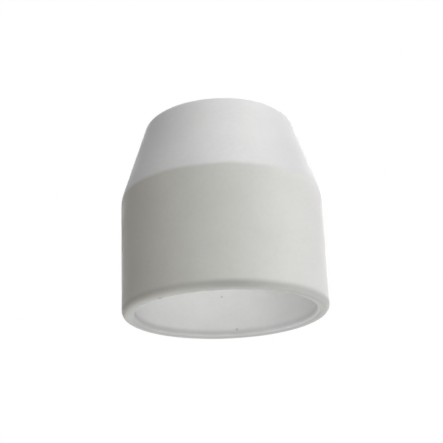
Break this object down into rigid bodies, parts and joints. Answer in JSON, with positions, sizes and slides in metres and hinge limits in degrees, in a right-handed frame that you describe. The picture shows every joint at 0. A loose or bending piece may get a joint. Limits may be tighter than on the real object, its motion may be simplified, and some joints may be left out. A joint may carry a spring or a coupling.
{
  "type": "plasma torch shield cap",
  "caption": "White ceramic cup for a plasma cutting torch: round skirt with an open mouth and inner thread, tapering to a blunt nose with an opening for the nozzle.",
  "frame": {"origin": "centre of the mouth, on the plane of its rim", "axes": "+Z along the cap's axis, from the mouth to the nose; round, so X and Y are free"},
  "size_m": [0.032, 0.032, 0.0318],
  "materials": {
    "ceramic": "fired white ceramic, faintly ivory, with a soft low gloss"
  },
  "bodies": {
    "root": {"shield_cap": "ceramic"}
  },
  "joints": []
}
